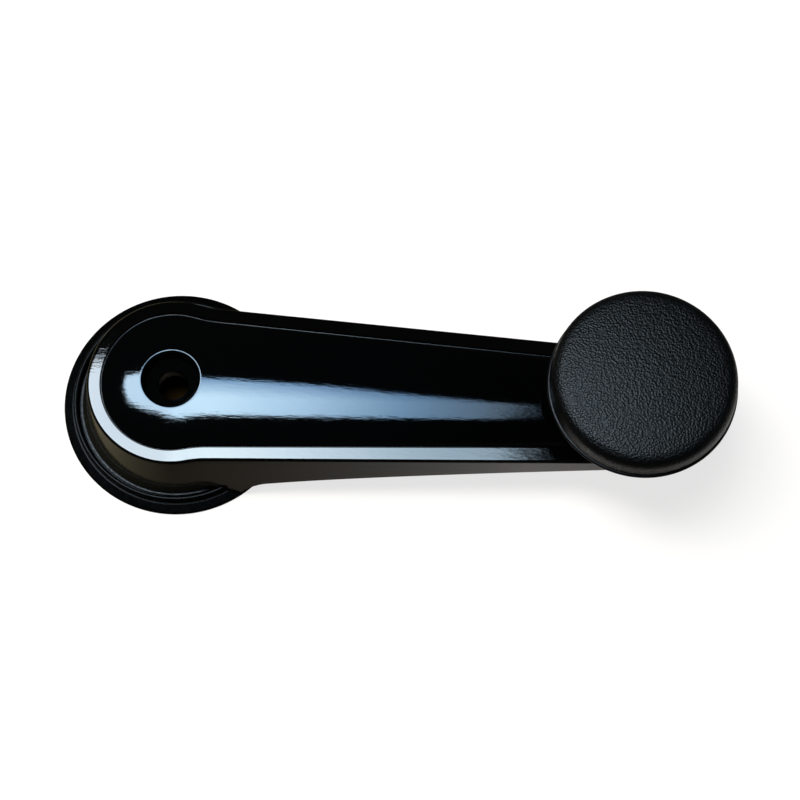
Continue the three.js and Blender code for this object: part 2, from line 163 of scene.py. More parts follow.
def apply_modifiers(piece):
    """Makes what the piece's modifiers show its own mesh."""
    bpy.context.view_layer.update()
    depsgraph = bpy.context.evaluated_depsgraph_get()
    mesh = bpy.data.meshes.new_from_object(piece.evaluated_get(depsgraph))
    piece.modifiers.clear()
    piece.data = mesh


def combine(piece, tool, operation):
    """Joins or cuts the piece with a closed tool, which is then deleted."""
    modifier = piece.modifiers.new("combine", "BOOLEAN")
    modifier.operation = operation
    modifier.solver = "EXACT"
    modifier.object = tool
    apply_modifiers(piece)
    bpy.data.objects.remove(tool)


def shade(piece, crease=32):
    """Smooth shading with crisp creases, flat faces kept flat by weighted normals."""
    mesh = piece.data
    mesh.shade_smooth()
    mesh.set_sharp_from_angle(angle=math.radians(crease))
    modifier = piece.modifiers.new("normals", "WEIGHTED_NORMAL")
    modifier.keep_sharp = True
    modifier.weight = 50
    apply_modifiers(piece)
    return piece


def arc(cx, cz, radius, start, end, steps):
    """Points (r, z) along an arc, angles in degrees anticlockwise from +r."""
    angles = np.radians(np.linspace(start, end, steps + 1))
    return [(cx + radius * math.cos(a), cz + radius * math.sin(a)) for a in angles]


def filleted(corners, steps=5):
    """A closed profile from corners (r, z, fillet radius)."""
    points = []
    count = len(corners)
    for i, (r, z, radius) in enumerate(corners):
        here = np.array((r, z), float)
        if not radius:
            points.append(tuple(here))
            continue
        before = np.array(corners[i - 1][:2], float) - here
        after = np.array(corners[(i + 1) % count][:2], float) - here
        before_length, after_length = np.linalg.norm(before), np.linalg.norm(after)
        before, after = before / before_length, after / after_length
        half = math.acos(max(-1, min(1, float(before @ after)))) / 2
        reach = min(radius / math.tan(half), 0.49 * before_length, 0.49 * after_length)
        radius = reach * math.tan(half)
        middle = here + (before + after) / np.linalg.norm(before + after) * radius / math.sin(half)
        first, last = here + before * reach - middle, here + after * reach - middle
        start = math.atan2(first[1], first[0])
        sweep = (math.atan2(last[1], last[0]) - start + math.pi) % (2 * math.pi) - math.pi
        for k in range(steps + 1):
            angle = start + sweep * k / steps
            points.append((middle[0] + radius * math.cos(angle), middle[1] + radius * math.sin(angle)))
    return points


def turned(name, profile, x=0.0, facets=128, warp=None):
    """A closed body turned about the vertical through x; warp moves each (r, z) by its angle."""
    loop = list(profile) + [profile[0]]
    angles = np.linspace(0, 2 * math.pi, facets + 1)
    rows = []
    for r, z in loop:
        warped = [warp(r, z, a) if warp else (r, z) for a in angles]
        rows.append([(x + q * math.cos(a), q * math.sin(a), h) for (q, h), a in zip(warped, angles)])
    return weld(name, [np.array(rows)])


# ---------------------------------------------------------------- crank outline and surfaces

HUB_COLUMNS = 44
WAIST_COLUMNS = 12
SHOULDER_COLUMNS = 44
SIDE_COLUMNS = 56
END_COLUMNS = 20
SHOULDER_END_X = 20.0  # the side's columns are close together up to here, where the neck's edge turns
HOLE_COLUMNS = HUB_COLUMNS + WAIST_COLUMNS + 16  # these end on the hole's rim, the others on the spine


def waist_geometry(shape):
    """Centre of the concave waist arc and the places where it meets the hub and the side."""
    lean = math.atan(shape["taper"])
    reach = shape["hub"] + shape["waist"]
    side_at_0 = shape["half"] + shape["waist"] / math.cos(lean)
    a = 1 + shape["taper"] ** 2
    b = side_at_0 * shape["taper"]
    c = side_at_0 ** 2 - reach ** 2
    x = (b + math.sqrt(b * b - a * c)) / a
    y = side_at_0 - shape["taper"] * x
    return x, y, lean


def half_outline(shape, inset):
    """Upper half of the plan outline, from the hub's far left to the tip, as an array of (x, y)."""
    wx, wy, lean = waist_geometry(shape)
    hub_angle = math.atan2(wy, wx)
    side_angle = math.pi / 2 - lean
    end_r = (shape["half"] - shape["taper"] * KNOB_X) * math.cos(lean) - inset

    def around(cx, cy, radius, start, end, steps):
        angles = np.linspace(start, end, steps + 1)
        return np.column_stack((cx + radius * np.cos(angles), cy + radius * np.sin(angles)))

    hub = around(0, 0, shape["hub"] - inset, math.pi, hub_angle, HUB_COLUMNS)
    waist_r = shape["waist"] + inset
    waist = around(wx, wy, waist_r, hub_angle + math.pi, side_angle + math.pi, WAIST_COLUMNS)
    end = around(KNOB_X, 0, end_r, side_angle, 0, END_COLUMNS)
    first, last = waist[-1], end[0]
    bend = first + (last - first) * (SHOULDER_END_X - first[0]) / (last[0] - first[0])
    shoulder = first + (bend - first) * np.linspace(0, 1, SHOULDER_COLUMNS + 1)[:, None]
    side = bend + (last - bend) * np.linspace(0, 1, SIDE_COLUMNS + 1)[:, None]
    return np.vstack((hub, waist[1:], shoulder[1:], side[1:], end[1:]))


def half_width(shape, x):
    """Half width of an outline at x, from the hub's middle on."""
    wx, wy, lean = waist_geometry(shape)
    hub_end = shape["hub"] * wx / math.hypot(wx, wy)
    side_start = wx - shape["waist"] * math.sin(lean)
    hub = np.sqrt(np.maximum(shape["hub"] ** 2 - x ** 2, 0))
    waist = wy - np.sqrt(np.maximum(shape["waist"] ** 2 - (x - wx) ** 2, 0))
    side = shape["half"] - shape["taper"] * x
    return np.where(x < hub_end, hub, np.where(x < side_start, waist, side))


def crown_z(x, y):
    """Height of the crown over the plan."""
    x, y = np.asarray(x, float), np.asarray(y, float)
    end_r = half_width(CROWN, np.array(KNOB_X))
    on_hub = np.hypot(x, y) / CROWN["hub"]
    on_arm = np.abs(y) / half_width(CROWN, np.clip(x, 0, KNOB_X))
    on_end = np.hypot(x - KNOB_X, y) / end_r
    u = np.where(x < 0, on_hub, np.where(x > KNOB_X, on_end, on_arm))
    along = np.clip(x / KNOB_X, 0, 1)
    rise = CROWN_RISE_HUB + (CROWN_RISE_TIP - CROWN_RISE_HUB) * along
    return RIM_Z + rise * (1 - u ** 2)


def ease(a, b, t):
    s = np.clip((t - a) / (b - a), 0, 1)
    return s * s * (3 - 2 * s)


def underside_z(x):
    """Height of the arm's underside: a quadratic curve through its control points."""
    (x0, z0), (x1, z1), (x2, z2) = UNDERSIDE
    a, b, c = x0 - 2 * x1 + x2, 2 * (x1 - x0), x0 - np.clip(x, x0, x2)
    t = (-b + np.sqrt(b * b - 4 * a * c)) / (2 * a)
    return z0 * (1 - t) ** 2 + 2 * z1 * t * (1 - t) + z2 * t * t


def lower_z(x, y):
    """Height of the crank's lowest surface: over the escutcheon's floor, ring and lip, then the arm."""
    r = np.hypot(x, y)
    over_ring = ease(*UP_OVER_RING, r) * (NECK_OVER_RING_Z - HUB_FLOOR_Z)
    over_lip = ease(*DOWN_TO_LIP, r) * (NECK_OVER_LIP_Z - NECK_OVER_RING_Z)
    lip_start = DOWN_TO_LIP[1]
    fall = LIP_FALL * np.clip(r - lip_start, 0, NECK_R - lip_start)
    neck = HUB_FLOOR_Z + over_ring + over_lip - fall
    turn = np.clip(NECK_R + NECK_FILLET - r, 0, NECK_FILLET) / NECK_FILLET
    arm = neck + (underside_z(x) - neck) * np.sqrt(1 - turn ** 2)
    return np.where(x > 0, arm, neck)


# ---------------------------------------------------------------- crank arm

def plan_rows():
    """Per column: the outline's point, its inward direction, the groove's edge and the crown's foot."""
    outer = half_outline(OUTER, 0.0)
    inward = half_outline(OUTER, 1.0) - outer
    groove = half_outline(GROOVE, 0.0)
    foot = half_outline(CROWN, 0.0)
    return outer, inward, groove, foot


def inner_ends(rim_r):
    """Where the columns end: round a circle on the hub axis, then along the spine to the knob's axis."""
    wx, wy, _ = waist_geometry(CROWN)
    hub_angle = math.atan2(wy, wx)
    first = np.linspace(math.pi, hub_angle, HUB_COLUMNS + 1)
    second = np.linspace(hub_angle, 0, HOLE_COLUMNS - HUB_COLUMNS + 1)[1:]
    angles = np.concatenate((first, second))
    circle = np.column_stack((rim_r * np.cos(angles), rim_r * np.sin(angles)))
    total = HUB_COLUMNS + WAIST_COLUMNS + SHOULDER_COLUMNS + SIDE_COLUMNS + END_COLUMNS
    spine_steps = total - HOLE_COLUMNS - END_COLUMNS
    xs = np.linspace(rim_r, KNOB_X, spine_steps + 1)[1:]
    xs = np.concatenate((xs, np.full(END_COLUMNS, KNOB_X)))
    return np.vstack((circle, np.column_stack((xs, np.zeros_like(xs)))))


def row(plan, z):
    return np.column_stack((plan, np.broadcast_to(z, len(plan))))


def wall_plan(outer, inward, z):
    """The side wall's outline at a height below its top, where the draft has moved it outwards."""
    return outer - inward * (WALL_DRAFT * (WALL_TOP_Z - z))[:, None]


def top_patch(outer, inward, groove, foot):
    """Side wall, rounded edge, rim, groove and crown of the upper half, lowest row first."""
    z_low = np.full(len(outer), HUB_FLOOR_Z)
    for _ in range(12):  # the lower edge's height and its plan depend on each other
        edge = wall_plan(outer, inward, z_low)
        z_low = 0.5 * z_low + 0.5 * lower_z(edge[:, 0], edge[:, 1])
    rows = []
    for s in np.linspace(0, 1, 13):
        z = (z_low + LOWER_ROUND) * (1 - s) + WALL_TOP_Z * s
        rows.append(row(wall_plan(outer, inward, z), z))
    lean = math.atan(WALL_DRAFT)
    for a in np.linspace(lean, math.pi / 2 - RIM_SLOPE, 9)[1:]:
        inset = EDGE_ROUND * (math.cos(lean) - math.cos(a))
        z = WALL_TOP_Z + EDGE_ROUND * (math.sin(a) - math.sin(lean))
        rows.append(row(outer + inward * inset, z))
    rim_start = rows[-1][:, :2]
    rim_z = rows[-1][0, 2]
    for s in np.linspace(0, 1, 7)[1:]:
        rows.append(row(rim_start + (groove - rim_start) * s, rim_z + (RIM_Z - rim_z) * s))
    for a in np.linspace(-GROOVE_LEAN, GROOVE_LEAN, 7):
        across = GROOVE_WIDTH / 2 + GROOVE_BOTTOM_R * math.sin(a)
        z = RIM_Z - GROOVE_DEPTH + GROOVE_BOTTOM_R * (1 - math.cos(a))
        rows.append(row(groove + inward * across, z))
    ledge = np.maximum(np.linalg.norm(foot - groove, axis=1) - GROOVE_WIDTH, 0)
    foot_slope = 2 * CROWN_RISE_HUB / CROWN["hub"]
    rows.append(row(groove + inward * GROOVE_WIDTH, RIM_Z - foot_slope * ledge))
    ends = inner_ends(COUNTERBORE_R + HOLE_ROUND)
    close_to_foot = (0, 0.008, 0.02, 0.04)
    for s in np.concatenate((close_to_foot, np.linspace(0.07, 1, 24))):
        plan = foot + (ends - foot) * s
        z = crown_z(plan[:, 0], plan[:, 1])
        rows.append(row(plan, z))
    return np.array(rows), z_low


def hole_patch(top):
    """From the crown's edge into the counterbore, its seat, the screw hole and the spindle socket."""
    edge = top[-1][: HOLE_COLUMNS + 1]
    direction = edge[:, :2] / np.linalg.norm(edge[:, :2], axis=1)[:, None]
    rows = [edge]
    for a in np.linspace(0, 90, 8)[1:]:
        r = COUNTERBORE_R + HOLE_ROUND * (1 - math.sin(math.radians(a)))
        z = edge[:, 2] - HOLE_ROUND * (1 - math.cos(math.radians(a)))
        rows.append(row(direction * r, z))
    wall_top = rows[-1][:, 2]
    for s in (0.1, 0.5, 0.9):
        z = wall_top + (SCREW_SEAT_Z + SEAT_FILLET - wall_top) * s
        rows.append(row(direction * COUNTERBORE_R, z))
    profile = filleted([
        (COUNTERBORE_R, SCREW_SEAT_Z + SEAT_FILLET, 0), (COUNTERBORE_R, SCREW_SEAT_Z, SEAT_FILLET),
        (SCREW_HOLE_R, SCREW_SEAT_Z - SEAT_FALL, 0.35), (SCREW_HOLE_R, SOCKET_TOP_Z, 0.1),
        (SOCKET_R, SOCKET_TOP_Z, 0.2), (SOCKET_R, BOSS_FLOOR_Z, 0.25),
        (BOSS_R, BOSS_FLOOR_Z, 0.4), (BOSS_R + BOSS_LEAN, CEILING_Z, 0),
    ], 7)
    for r, z in profile:
        rows.append(row(direction * r, z))
    return np.array(rows)


def under_patch(outer, inward, z_low):
    """Rounded lower edge, the wall's underside and the pocket, down to the boss and the spine."""
    start_z = z_low + LOWER_ROUND
    start = wall_plan(outer, inward, start_z)
    rows = []
    for a in np.radians(np.linspace(0, 90, 8)):
        plan = start + inward * LOWER_ROUND * (1 - math.cos(a))
        rows.append(row(plan, start_z - LOWER_ROUND * math.sin(a)))
    has_pocket = (start[:, 0] < WEB[0]) | ((start[:, 0] > WEB[1]) & (start[:, 0] < POCKET_END_X))
    ends = inner_ends(BOSS_R + BOSS_LEAN)
    rim_end = start + inward * WALL_THICK
    wall_end = start + inward * (WALL_THICK + POCKET_LEAN)
    steps = [(start + inward * WALL_THICK * share, 0.0) for share in np.linspace(0.15, 1, 12)]
    steps += [(rim_end + inward * 0.15, 0.04), (wall_end, 0.94), (wall_end + inward * 0.4, 1.0)]
    for plan, level in steps:
        rows.append(under_row(plan, level, has_pocket))
    inner = steps[-1][0]
    for s in np.linspace(0, 1, 9)[1:]:
        rows.append(under_row(inner + (ends - inner) * s, 1.0, has_pocket))
    rows[-1][: HOLE_COLUMNS + 1, 2] = CEILING_Z
    return np.array(rows)


def under_row(plan, level, has_pocket):
    low = lower_z(plan[:, 0], plan[:, 1])
    ceiling = np.where(has_pocket, np.maximum(CEILING_Z, low), low)
    return row(plan, low + (ceiling - low) * level)


def mirrored(patch):
    return patch * np.array((1, -1, 1))


def rib(name, x0, x1, half_y, stations):
    """An upright rib whose lower edge follows the underside."""
    xs = np.linspace(x0, x1, stations)
    beside_boss = BOSS_FLOOR_Z + RIB_OVER_BOSS
    elsewhere = lower_z(xs, np.zeros_like(xs)) + RIB_OVER_EDGE
    low = np.where(xs < RIB_REACH_DOWN_X, beside_boss, elsewhere)
    section = [(-half_y, 0), (half_y, 0), (half_y, 1), (-half_y, 1), (-half_y, 0)]
    top = CEILING_Z + RIB_IN_CEILING
    sides = np.array([[(x, y, z + (top - z) * up) for y, up in section] for x, z in zip(xs, low)])
    caps = [np.array([[side[0], side[1]], [side[3], side[2]]]) for side in (sides[0], sides[-1])]
    return weld(name, [sides, *caps])


def crank_arm():
    outer, inward, groove, foot = plan_rows()
    top, z_low = top_patch(outer, inward, groove, foot)
    halves = [top, under_patch(outer, inward, z_low), hole_patch(top)]
    arm = weld("arm", halves + [mirrored(patch) for patch in halves])
    inside_z = (FOOT_Z + PAD_Z) / 2
    combine(arm, disc("pad", PAD_R, inside_z, PAD_Z, 0.4, KNOB_X), "UNION")
    combine(arm, disc("foot", FOOT_R, FOOT_Z, inside_z, 0.4, KNOB_X), "UNION")
    combine(arm, rib("spine_rib", BOSS_R - 1, POCKET_END_X + 1, RIB_HALF, 40), "UNION")
    for x in CROSS_RIBS_X:
        reach = float(half_width(OUTER, np.array(x))) - RIB_END_INSET
        combine(arm, rib("cross_rib", x - RIB_HALF, x + RIB_HALF, reach, 4), "UNION")
    combine(arm, disc("tail_hole", TAIL_HOLE_R, FOOT_Z - 1, PAD_Z + 1, 0, KNOB_X), "DIFFERENCE")
    return shade(arm, crease=22)


def disc(name, radius, z0, z1, edge, x=0.0):
    """A plain closed disc, used to join or cut."""
    return turned(name, filleted([(0, z0, 0), (radius, z0, edge), (radius, z1, edge), (0, z1, 0)], 7), x)


# ---------------------------------------------------------------- door side

ESC_RING_Z = 3.3
ESC_FLOOR_Z = 1.4


def escutcheon():
    """Stepped disc: a lip that falls outwards, a rounded ring and a floor with room for the gasket."""
    radius = box_mm("escutcheon")[1].x
    return shade(turned("escutcheon_disc", filleted([
        (8.2, 0, 0.1), (11, 0, 0.1), (11, 0.65, 0.1), (19.6, 0.65, 0.1), (19.6, 0, 0.1),
        (radius, 0, 0.25), (radius, 0.7, 0.6), (21.25, 1.32, 0.25), (20.92, 1.3, 0.12),
        (20.88, ESC_RING_Z, 0.41), (20.02, ESC_RING_Z, 0.41), (19.98, ESC_FLOOR_Z, 0.3),
        (8.2, ESC_FLOOR_Z, 0.2),
    ], 7), facets=192))


def flat_ring(name, node, inner, edge, x=0.0):
    """A washer or gasket with rounded edges, as big as its CAD node."""
    low, high = box_mm(node)
    outer = (high.x - low.x) / 2
    corners = [(inner, low.z), (outer, low.z), (outer, high.z), (inner, high.z)]
    return shade(turned(name, filleted([(r, z, edge) for r, z in corners], 4), x, 144))


def wave_ring(name, node, inner, thickness, x=0.0):
    """A spring washer bent into three waves."""
    low, high = box_mm(node)
    outer = (high.x - low.x) / 2
    middle = (low.z + high.z) / 2
    height = (high.z - low.z - thickness) / 2
    z0, z1 = middle - thickness / 2, middle + thickness / 2
    corners = [(inner, z0, 0.08), (outer, z0, 0.08), (outer, z1, 0.08), (inner, z1, 0.08)]

    def bend(r, z, angle):
        return r, z + height * math.cos(3 * angle)

    return shade(turned(name, filleted(corners, 3), x, 192, bend))


# ---------------------------------------------------------------- hardware on the crank

SPLINE_TEETH = 24
SPLINE_TIP_R = 4.45
SPLINE_ROOT_R = 4.95


def spline_bush():
    """Steel bush with a serrated bore; the serrations fade out in its lead-in chamfers."""
    low, high = box_mm("spline_insert")
    middle_r = (SPLINE_TIP_R + SPLINE_ROOT_R) / 2
    half_tooth = (SPLINE_ROOT_R - SPLINE_TIP_R) / 2

    def serrate(r, z, angle):
        if r > middle_r + 0.01:
            return r, z
        phase = angle * SPLINE_TEETH / math.pi % 2
        return r - half_tooth * (1 - 2 * abs(phase - 1)), z

    mouth_r = SPLINE_ROOT_R + 0.15
    profile = [
        (middle_r, low.z + 0.5), (mouth_r, low.z), (high.x - 0.3, low.z), (high.x, low.z + 0.3),
        (high.x, high.z - 0.3), (high.x - 0.3, high.z), (mouth_r, high.z), (middle_r, high.z - 0.5),
    ]
    return shade(turned("spline_bush", profile, facets=SPLINE_TEETH * 8, warp=serrate), crease=20)


def shouldered_pin():
    """The knob's pin: peened tail, journal and a turned head with a centre mark."""
    low, high = box_mm("knob_pin")
    head_r = (high.x - low.x) / 2
    tail_z = low.z + 1.5
    return shade(turned("shouldered_pin", filleted([
        (0, low.z + 0.35, 0), (0.7, low.z + 0.25, 0.2), (1.2, low.z, 0.3), (2.8, low.z + 0.15, 0.6),
        (4.2, tail_z - 0.75, 0.5), (4.4, tail_z, 0.15), (2.9, tail_z, 0.1), (2.9, PAD_Z + 0.1, 0.1),
        (4, PAD_Z + 0.1, 0.2), (4, high.z - 1.4, 0.1), (head_r, high.z - 1.4, 0.2),
        (head_r, high.z, 0.35), (1.4, high.z, 0.1), (0.2, high.z - 0.7, 0), (0, high.z - 0.7, 0),
    ]), KNOB_X, 96))


def flanged_bush():
    """Plain bearing pressed into the knob, with its flange under the pin's head."""
    low, high = box_mm("knob_bush")
    flange_r = (high.x - low.x) / 2
    under = high.z - 0.8
    return shade(turned("flanged_bush", filleted([
        (4.1, low.z, 0.2), (5.6, low.z, 0.25), (5.6, under, 0.1), (flange_r, under, 0.15),
        (flange_r, high.z, 0.15), (4.1, high.z, 0.2),
    ], 4), KNOB_X, 128))


# ---------------------------------------------------------------- knob

def bezier(p0, p1, p2, p3, steps):
    """Points along a cubic curve."""
    ts = np.linspace(0, 1, steps + 1)[:, None]
    p0, p1, p2, p3 = (np.array(p, float) for p in (p0, p1, p2, p3))
    curve = p0 * (1 - ts) ** 3 + 3 * p1 * ts * (1 - ts) ** 2 + 3 * p2 * ts ** 2 * (1 - ts) + p3 * ts ** 3
    return [tuple(point) for point in curve]


def knob_base():
    """Moulded base: flared stem, rounded lip, a spigot for the cap and a seat for the bush."""
    low, high = box_mm("knob_base")
    radius = (high.x - low.x) / 2
    lip_z = 28.0
    lip_top = 28.9
    flare_end = (radius - 0.55, lip_z - 0.35)
    flare = bezier((8.4, low.z + 0.5), (8.8, low.z + 5), (radius - 6, lip_z - 1.7), flare_end, 24)
    lip = arc(radius - 0.42, lip_z + 0.1, 0.42, -70, 90, 10)
    inner = filleted([
        (radius - 0.8, lip_top - 0.38, 0), (17.2, lip_top - 0.1, 0.1), (15.7, lip_top, 0.1),
        (15.7, 31.6, 0.2), (13.9, 31.6, 0.2), (13.7, 28.4, 0.4), (9, 26.6, 0.3), (5.85, 26.6, 0.1),
        (5.85, low.z, 0.2), (8.2, low.z, 0.25), (8.4, low.z + 0.5, 0),
    ])
    return shade(turned("knob_body", flare[1:] + lip + inner, KNOB_X, 192))


def knob_cap():
    """Hollow cap with a rounded shoulder and a slightly domed top."""
    low, high = box_mm("knob_cap")
    skin_r = (high.x - low.x) / 2
    top_z = high.z
    shoulder = bezier((skin_r - 0.2, 31.3), (skin_r - 0.25, 33.1), (16.9, 34.1), (14.9, 34.4), 18)
    dome = bezier((14.9, 34.4), (11.2, 34.95), (5, top_z), (0, top_z), 30)
    inside = filleted([
        (0, top_z - 2, 0), (11.2, top_z - 2.3, 1), (14.95, 32.5, 0.5), (15.95, 31.9, 0.3),
        (15.95, low.z, 0.15), (skin_r, low.z, 0.35), (skin_r - 0.15, 30.0, 0),
    ])
    return shade(turned("knob_skin", inside + shoulder + dome[1:], KNOB_X, 192))


# ---------------------------------------------------------------- materials

class Surface:
    """A Principled material whose detail comes from procedural nodes in the piece's own space."""

    def __init__(self, name, color, roughness, metallic=0.0, **sockets):
        self.material = bpy.data.materials.new(name)
        self.material.use_nodes = True
        self.tree = self.material.node_tree
        self.shader = self.tree.nodes["Principled BSDF"]
        self.shader.inputs["Base Color"].default_value = (*color, 1)
        self.shader.inputs["Roughness"].default_value = roughness
        self.shader.inputs["Metallic"].default_value = metallic
        for socket, value in sockets.items():
            self.shader.inputs[socket.replace("_", " ")].default_value = value
        self.normal = None
        self.place = self.node("ShaderNodeTexCoord").outputs["Object"]

    def node(self, kind, links=(), **settings):
        node = self.tree.nodes.new(kind)
        for key, value in settings.items():
            setattr(node, key, value)
        for socket, source in dict(links).items():
            if isinstance(source, bpy.types.NodeSocket):
                self.tree.links.new(source, node.inputs[socket])
            else:
                node.inputs[socket].default_value = source
        return node

    def stretched(self, x, y, z):
        """The piece's space, with features made longer by these factors."""
        scale = (1 / x, 1 / y, 1 / z)
        return self.node("ShaderNodeMapping", {"Vector": self.place, "Scale": scale}).outputs["Vector"]

    def axes(self):
        """The piece's space as separate X, Y and Z, in metres."""
        return self.node("ShaderNodeSeparateXYZ", {"Vector": self.place}).outputs

    def noise(self, size, detail=2.0, place=None, roughness=0.5):
        """Soft noise with features of about this many mm."""
        links = {"Vector": place or self.place, "Scale": 1 / (size * MM)}
        links.update({"Detail": detail, "Roughness": roughness})
        return self.node("ShaderNodeTexNoise", links).outputs["Fac"]

    def cells(self, size):
        """Distance from the middle of cells of about this many mm."""
        links = {"Vector": self.place, "Scale": 1 / (size * MM)}
        return self.node("ShaderNodeTexVoronoi", links).outputs["Distance"]

    def ranged(self, value, low, high, to_low, to_high):
        """A value moved from one range to another, and kept within it."""
        links = {"Value": value, "From Min": low, "From Max": high, "To Min": to_low, "To Max": to_high}
        return self.node("ShaderNodeMapRange", links, clamp=True).outputs["Result"]

    def math(self, operation, a, b=0.0):
        return self.node("ShaderNodeMath", {0: a, 1: b}, operation=operation).outputs["Value"]

    def length(self, vector):
        return self.node("ShaderNodeVectorMath", {0: vector}, operation="LENGTH").outputs["Value"]

    def mix(self, factor, color_a, color_b):
        """Blends two colours, each a constant or another node's output."""
        node = self.node("ShaderNodeMix", data_type="RGBA")
        for socket, value in ((node.inputs[6], color_a), (node.inputs[7], color_b)):
            if isinstance(value, bpy.types.NodeSocket):
                self.tree.links.new(value, socket)
            else:
                socket.default_value = (*value, 1)
        self.tree.links.new(factor, node.inputs[0])
        return node.outputs[2]

    def ramp(self, value, low, high, stops):
        """Colour along a range of values; stops are (value, colour)."""
        node = self.node("ShaderNodeValToRGB", {"Fac": self.ranged(value, low, high, 0.0, 1.0)})
        elements = node.color_ramp.elements
        while len(elements) < len(stops):
            elements.new(0.5)
        for element, (at, color) in zip(elements, stops):
            element.position = (at - low) / (high - low)
            element.color = (*color, 1)
        return node.outputs["Color"]

    def set(self, socket, source):
        self.tree.links.new(source, self.shader.inputs[socket])

    def bump(self, height, depth):
        """Adds relief; depth is the height in mm that a value of 1 stands for."""
        links = {"Height": height, "Strength": 1.0, "Distance": depth * MM}
        if self.normal:
            links["Normal"] = self.normal
        self.normal = self.node("ShaderNodeBump", links).outputs["Normal"]
        self.tree.links.new(self.normal, self.shader.inputs["Normal"])


PAINT = (0.0004, 0.0004, 0.0004)
FLANK_FINISH_AND_BOUNCE = (0.03, 0.026, 0.018)  # browner below the rim: partly the flanks' duller finish, partly painted bounce light from the floor
FLANK_UP = (0.25, 0.45)  # the base colour changes while the surface's upward normal goes through this range
HOLE_EDGE = 0.008  # the flanks are all further than this from the hub axis
CROWN_BLEND = 0.0002
CROWN_PAINTED_DIMMING = (
    # distance along the crank in metres, and the specular tint there: painted dimming of the crown's
    # reflection
    (0.0065, (0.75, 0.89, 1.0)), (0.026, (0.656, 0.8, 0.94)),
    (0.046, (0.4, 0.544, 0.708)), (0.065, (0.275, 0.31, 0.354)),
)


def crown_mask(surface, axes, from_axis):
    """1 on the crown and 0 outside its foot: tapered sides along the arm, a circle round the hub."""
    side = surface.math("ABSOLUTE", axes["Y"])
    from_spine = surface.math("ADD", side, surface.math("MULTIPLY", axes["X"], CROWN["taper"]))
    round_hub = surface.math("MULTIPLY", from_axis, surface.math("LESS_THAN", axes["X"], 0.0))
    round_hub = surface.math("MULTIPLY", round_hub, CROWN["half"] / CROWN["hub"])
    outward = surface.math("MAXIMUM", from_spine, round_hub)
    foot = CROWN["half"] * MM
    return surface.ranged(outward, foot - CROWN_BLEND, foot, 1.0, 0.0)


def flank_mask(surface, from_axis):
    """1 on the side walls and the underside and 0 on what faces up and inside the screw hole."""
    normal = surface.node("ShaderNodeNewGeometry").outputs["Normal"]
    up = surface.node("ShaderNodeSeparateXYZ", {"Vector": normal}).outputs["Z"]
    outside = surface.math("GREATER_THAN", from_axis, HOLE_EDGE)
    return surface.math("MULTIPLY", outside, surface.ranged(up, *FLANK_UP, 1.0, 0.0))


def gloss_paint():
    """Black stoving paint: a wavy film with fine grit, browner on the flanks, partly as painted bounce
    light, and with a painted dimming of the crown's reflection towards the knob.
    """
    surface = Surface("gloss_paint", PAINT, 0.06, Specular_IOR_Level=0.5)
    marks = surface.noise(0.55, 4, surface.stretched(5, 1, 1), 0.6)
    streaks = surface.noise(0.22, 3, surface.stretched(4, 1, 1))
    grit = surface.noise(0.1, 2)
    axes = surface.axes()
    plan = surface.node("ShaderNodeVectorMath", {0: surface.place, 1: (1, 1, 0)}, operation="MULTIPLY")
    from_axis = surface.length(plan.outputs[0])
    flank = flank_mask(surface, from_axis)
    # painted bounce light: the flanks' browner colour stands partly for floor light that they pick up
    surface.set("Base Color", surface.mix(flank, PAINT, FLANK_FINISH_AND_BOUNCE))
    painted_dimming = surface.ramp(axes["X"], CROWN_PAINTED_DIMMING[0][0], CROWN_PAINTED_DIMMING[-1][0], CROWN_PAINTED_DIMMING)
    on_crown = crown_mask(surface, axes, from_axis)
    # painted reflection: the specular tint dims the crown's reflection of the softbox towards the knob
    surface.set("Specular Tint", surface.mix(on_crown, (1, 1, 1), painted_dimming))
    surface.set("Roughness", surface.ranged(marks, 0.35, 0.7, 0.03, 0.055))
    surface.bump(marks, 0.01)
    surface.bump(streaks, 0.0025)
    surface.bump(grit, 0.0008)
    return surface.material


def gloss_moulding():
    """Plain black moulding with a faint flow texture."""
    surface = Surface("gloss_moulding", (0.0006, 0.0006, 0.0006), 0.28, Specular_IOR_Level=0.07)
    film = surface.noise(1.2, 3)
    surface.set("Roughness", surface.ranged(film, 0.3, 0.7, 0.24, 0.34))
    surface.bump(surface.noise(0.3, 2), 0.003)
    return surface.material


def grained_cap():
    """Soft moulded skin with a fine pebbled grain."""
    surface = Surface("grained_cap", (0.0012, 0.0012, 0.0012), 0.32, Specular_IOR_Level=0.18)
    warp = surface.noise(1.5, 2)
    cells = surface.cells(0.44)
    fine = surface.noise(0.14, 3)
    valleys = surface.math("POWER", surface.ranged(cells, 0.0, 0.75, 0.0, 1.0), 2.0)
    pebbles = surface.math("SUBTRACT", 1.0, valleys)
    surface.set("Roughness", surface.ranged(cells, 0.1, 0.6, 0.24, 0.42))
    surface.bump(pebbles, 0.065)
    surface.bump(fine, 0.006)
    surface.bump(warp, 0.03)
    return surface.material


def satin_moulding():
    """Black moulding with a dull, slightly uneven skin."""
    surface = Surface("satin_moulding", (0.002, 0.002, 0.0022), 0.35, Specular_IOR_Level=0.2)
    surface.set("Roughness", surface.ranged(surface.noise(0.8, 3), 0.3, 0.7, 0.28, 0.42))
    surface.bump(surface.noise(0.15, 2), 0.003)
    return surface.material


def turned_steel(name, color, roughness):
    """Metal with fine turning marks round the axis and slight tarnish."""
    surface = Surface(name, color, roughness, 1.0)
    turning = surface.noise(0.2, 3, surface.stretched(1, 1, 0.3))
    tarnish = surface.noise(1.6, 4)
    dull = tuple(0.72 * channel for channel in color)
    surface.set("Base Color", surface.mix(surface.ranged(tarnish, 0.4, 0.7, 0.0, 1.0), color, dull))
    surface.set("Roughness", surface.ranged(turning, 0.3, 0.7, roughness - 0.08, roughness + 0.12))
    surface.bump(turning, 0.003)
    return surface.material


